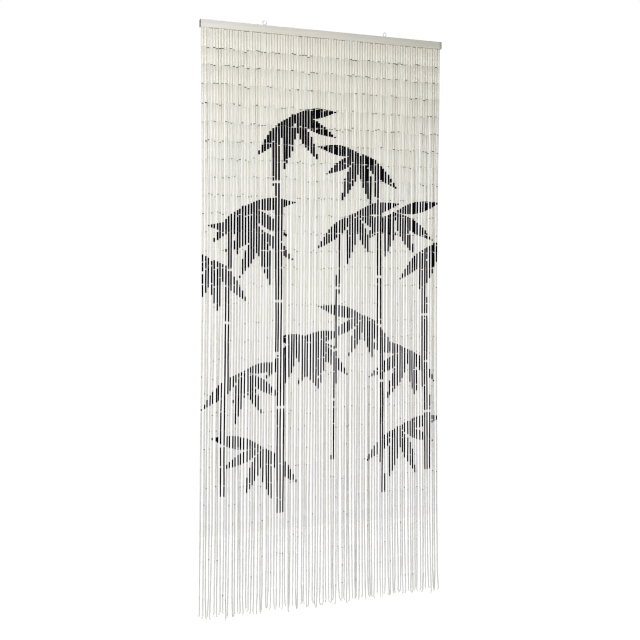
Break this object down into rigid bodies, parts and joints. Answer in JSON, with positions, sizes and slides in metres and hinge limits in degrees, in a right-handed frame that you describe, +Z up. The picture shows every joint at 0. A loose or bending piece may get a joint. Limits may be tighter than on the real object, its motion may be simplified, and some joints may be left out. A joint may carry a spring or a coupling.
{
  "type": "bamboo door curtain with wooden rail",
  "caption": "Door curtain of hanging bamboo-tube strands under a painted wooden rail, hung in a doorway by screw eyes in the rail's top.",
  "frame": {"origin": "centre of the rail's top face", "axes": "+Z up, +X along the rail to the right as seen from the front, the front faces -Y"},
  "size_m": [0.9059, 0.02, 2.029],
  "materials": {
    "rail_paint": "planed wood with thin satin cream paint",
    "eye_steel": "bright zinc-plated wire",
    "bamboo_paint": "bamboo tube with thin cream paint and a dark painted design"
  },
  "bodies": {
    "root": {"rail": "rail_paint", "screw_eye_left": "eye_steel", "screw_eye_right": "eye_steel", "bamboo_strands": "bamboo_paint"}
  },
  "joints": []
}
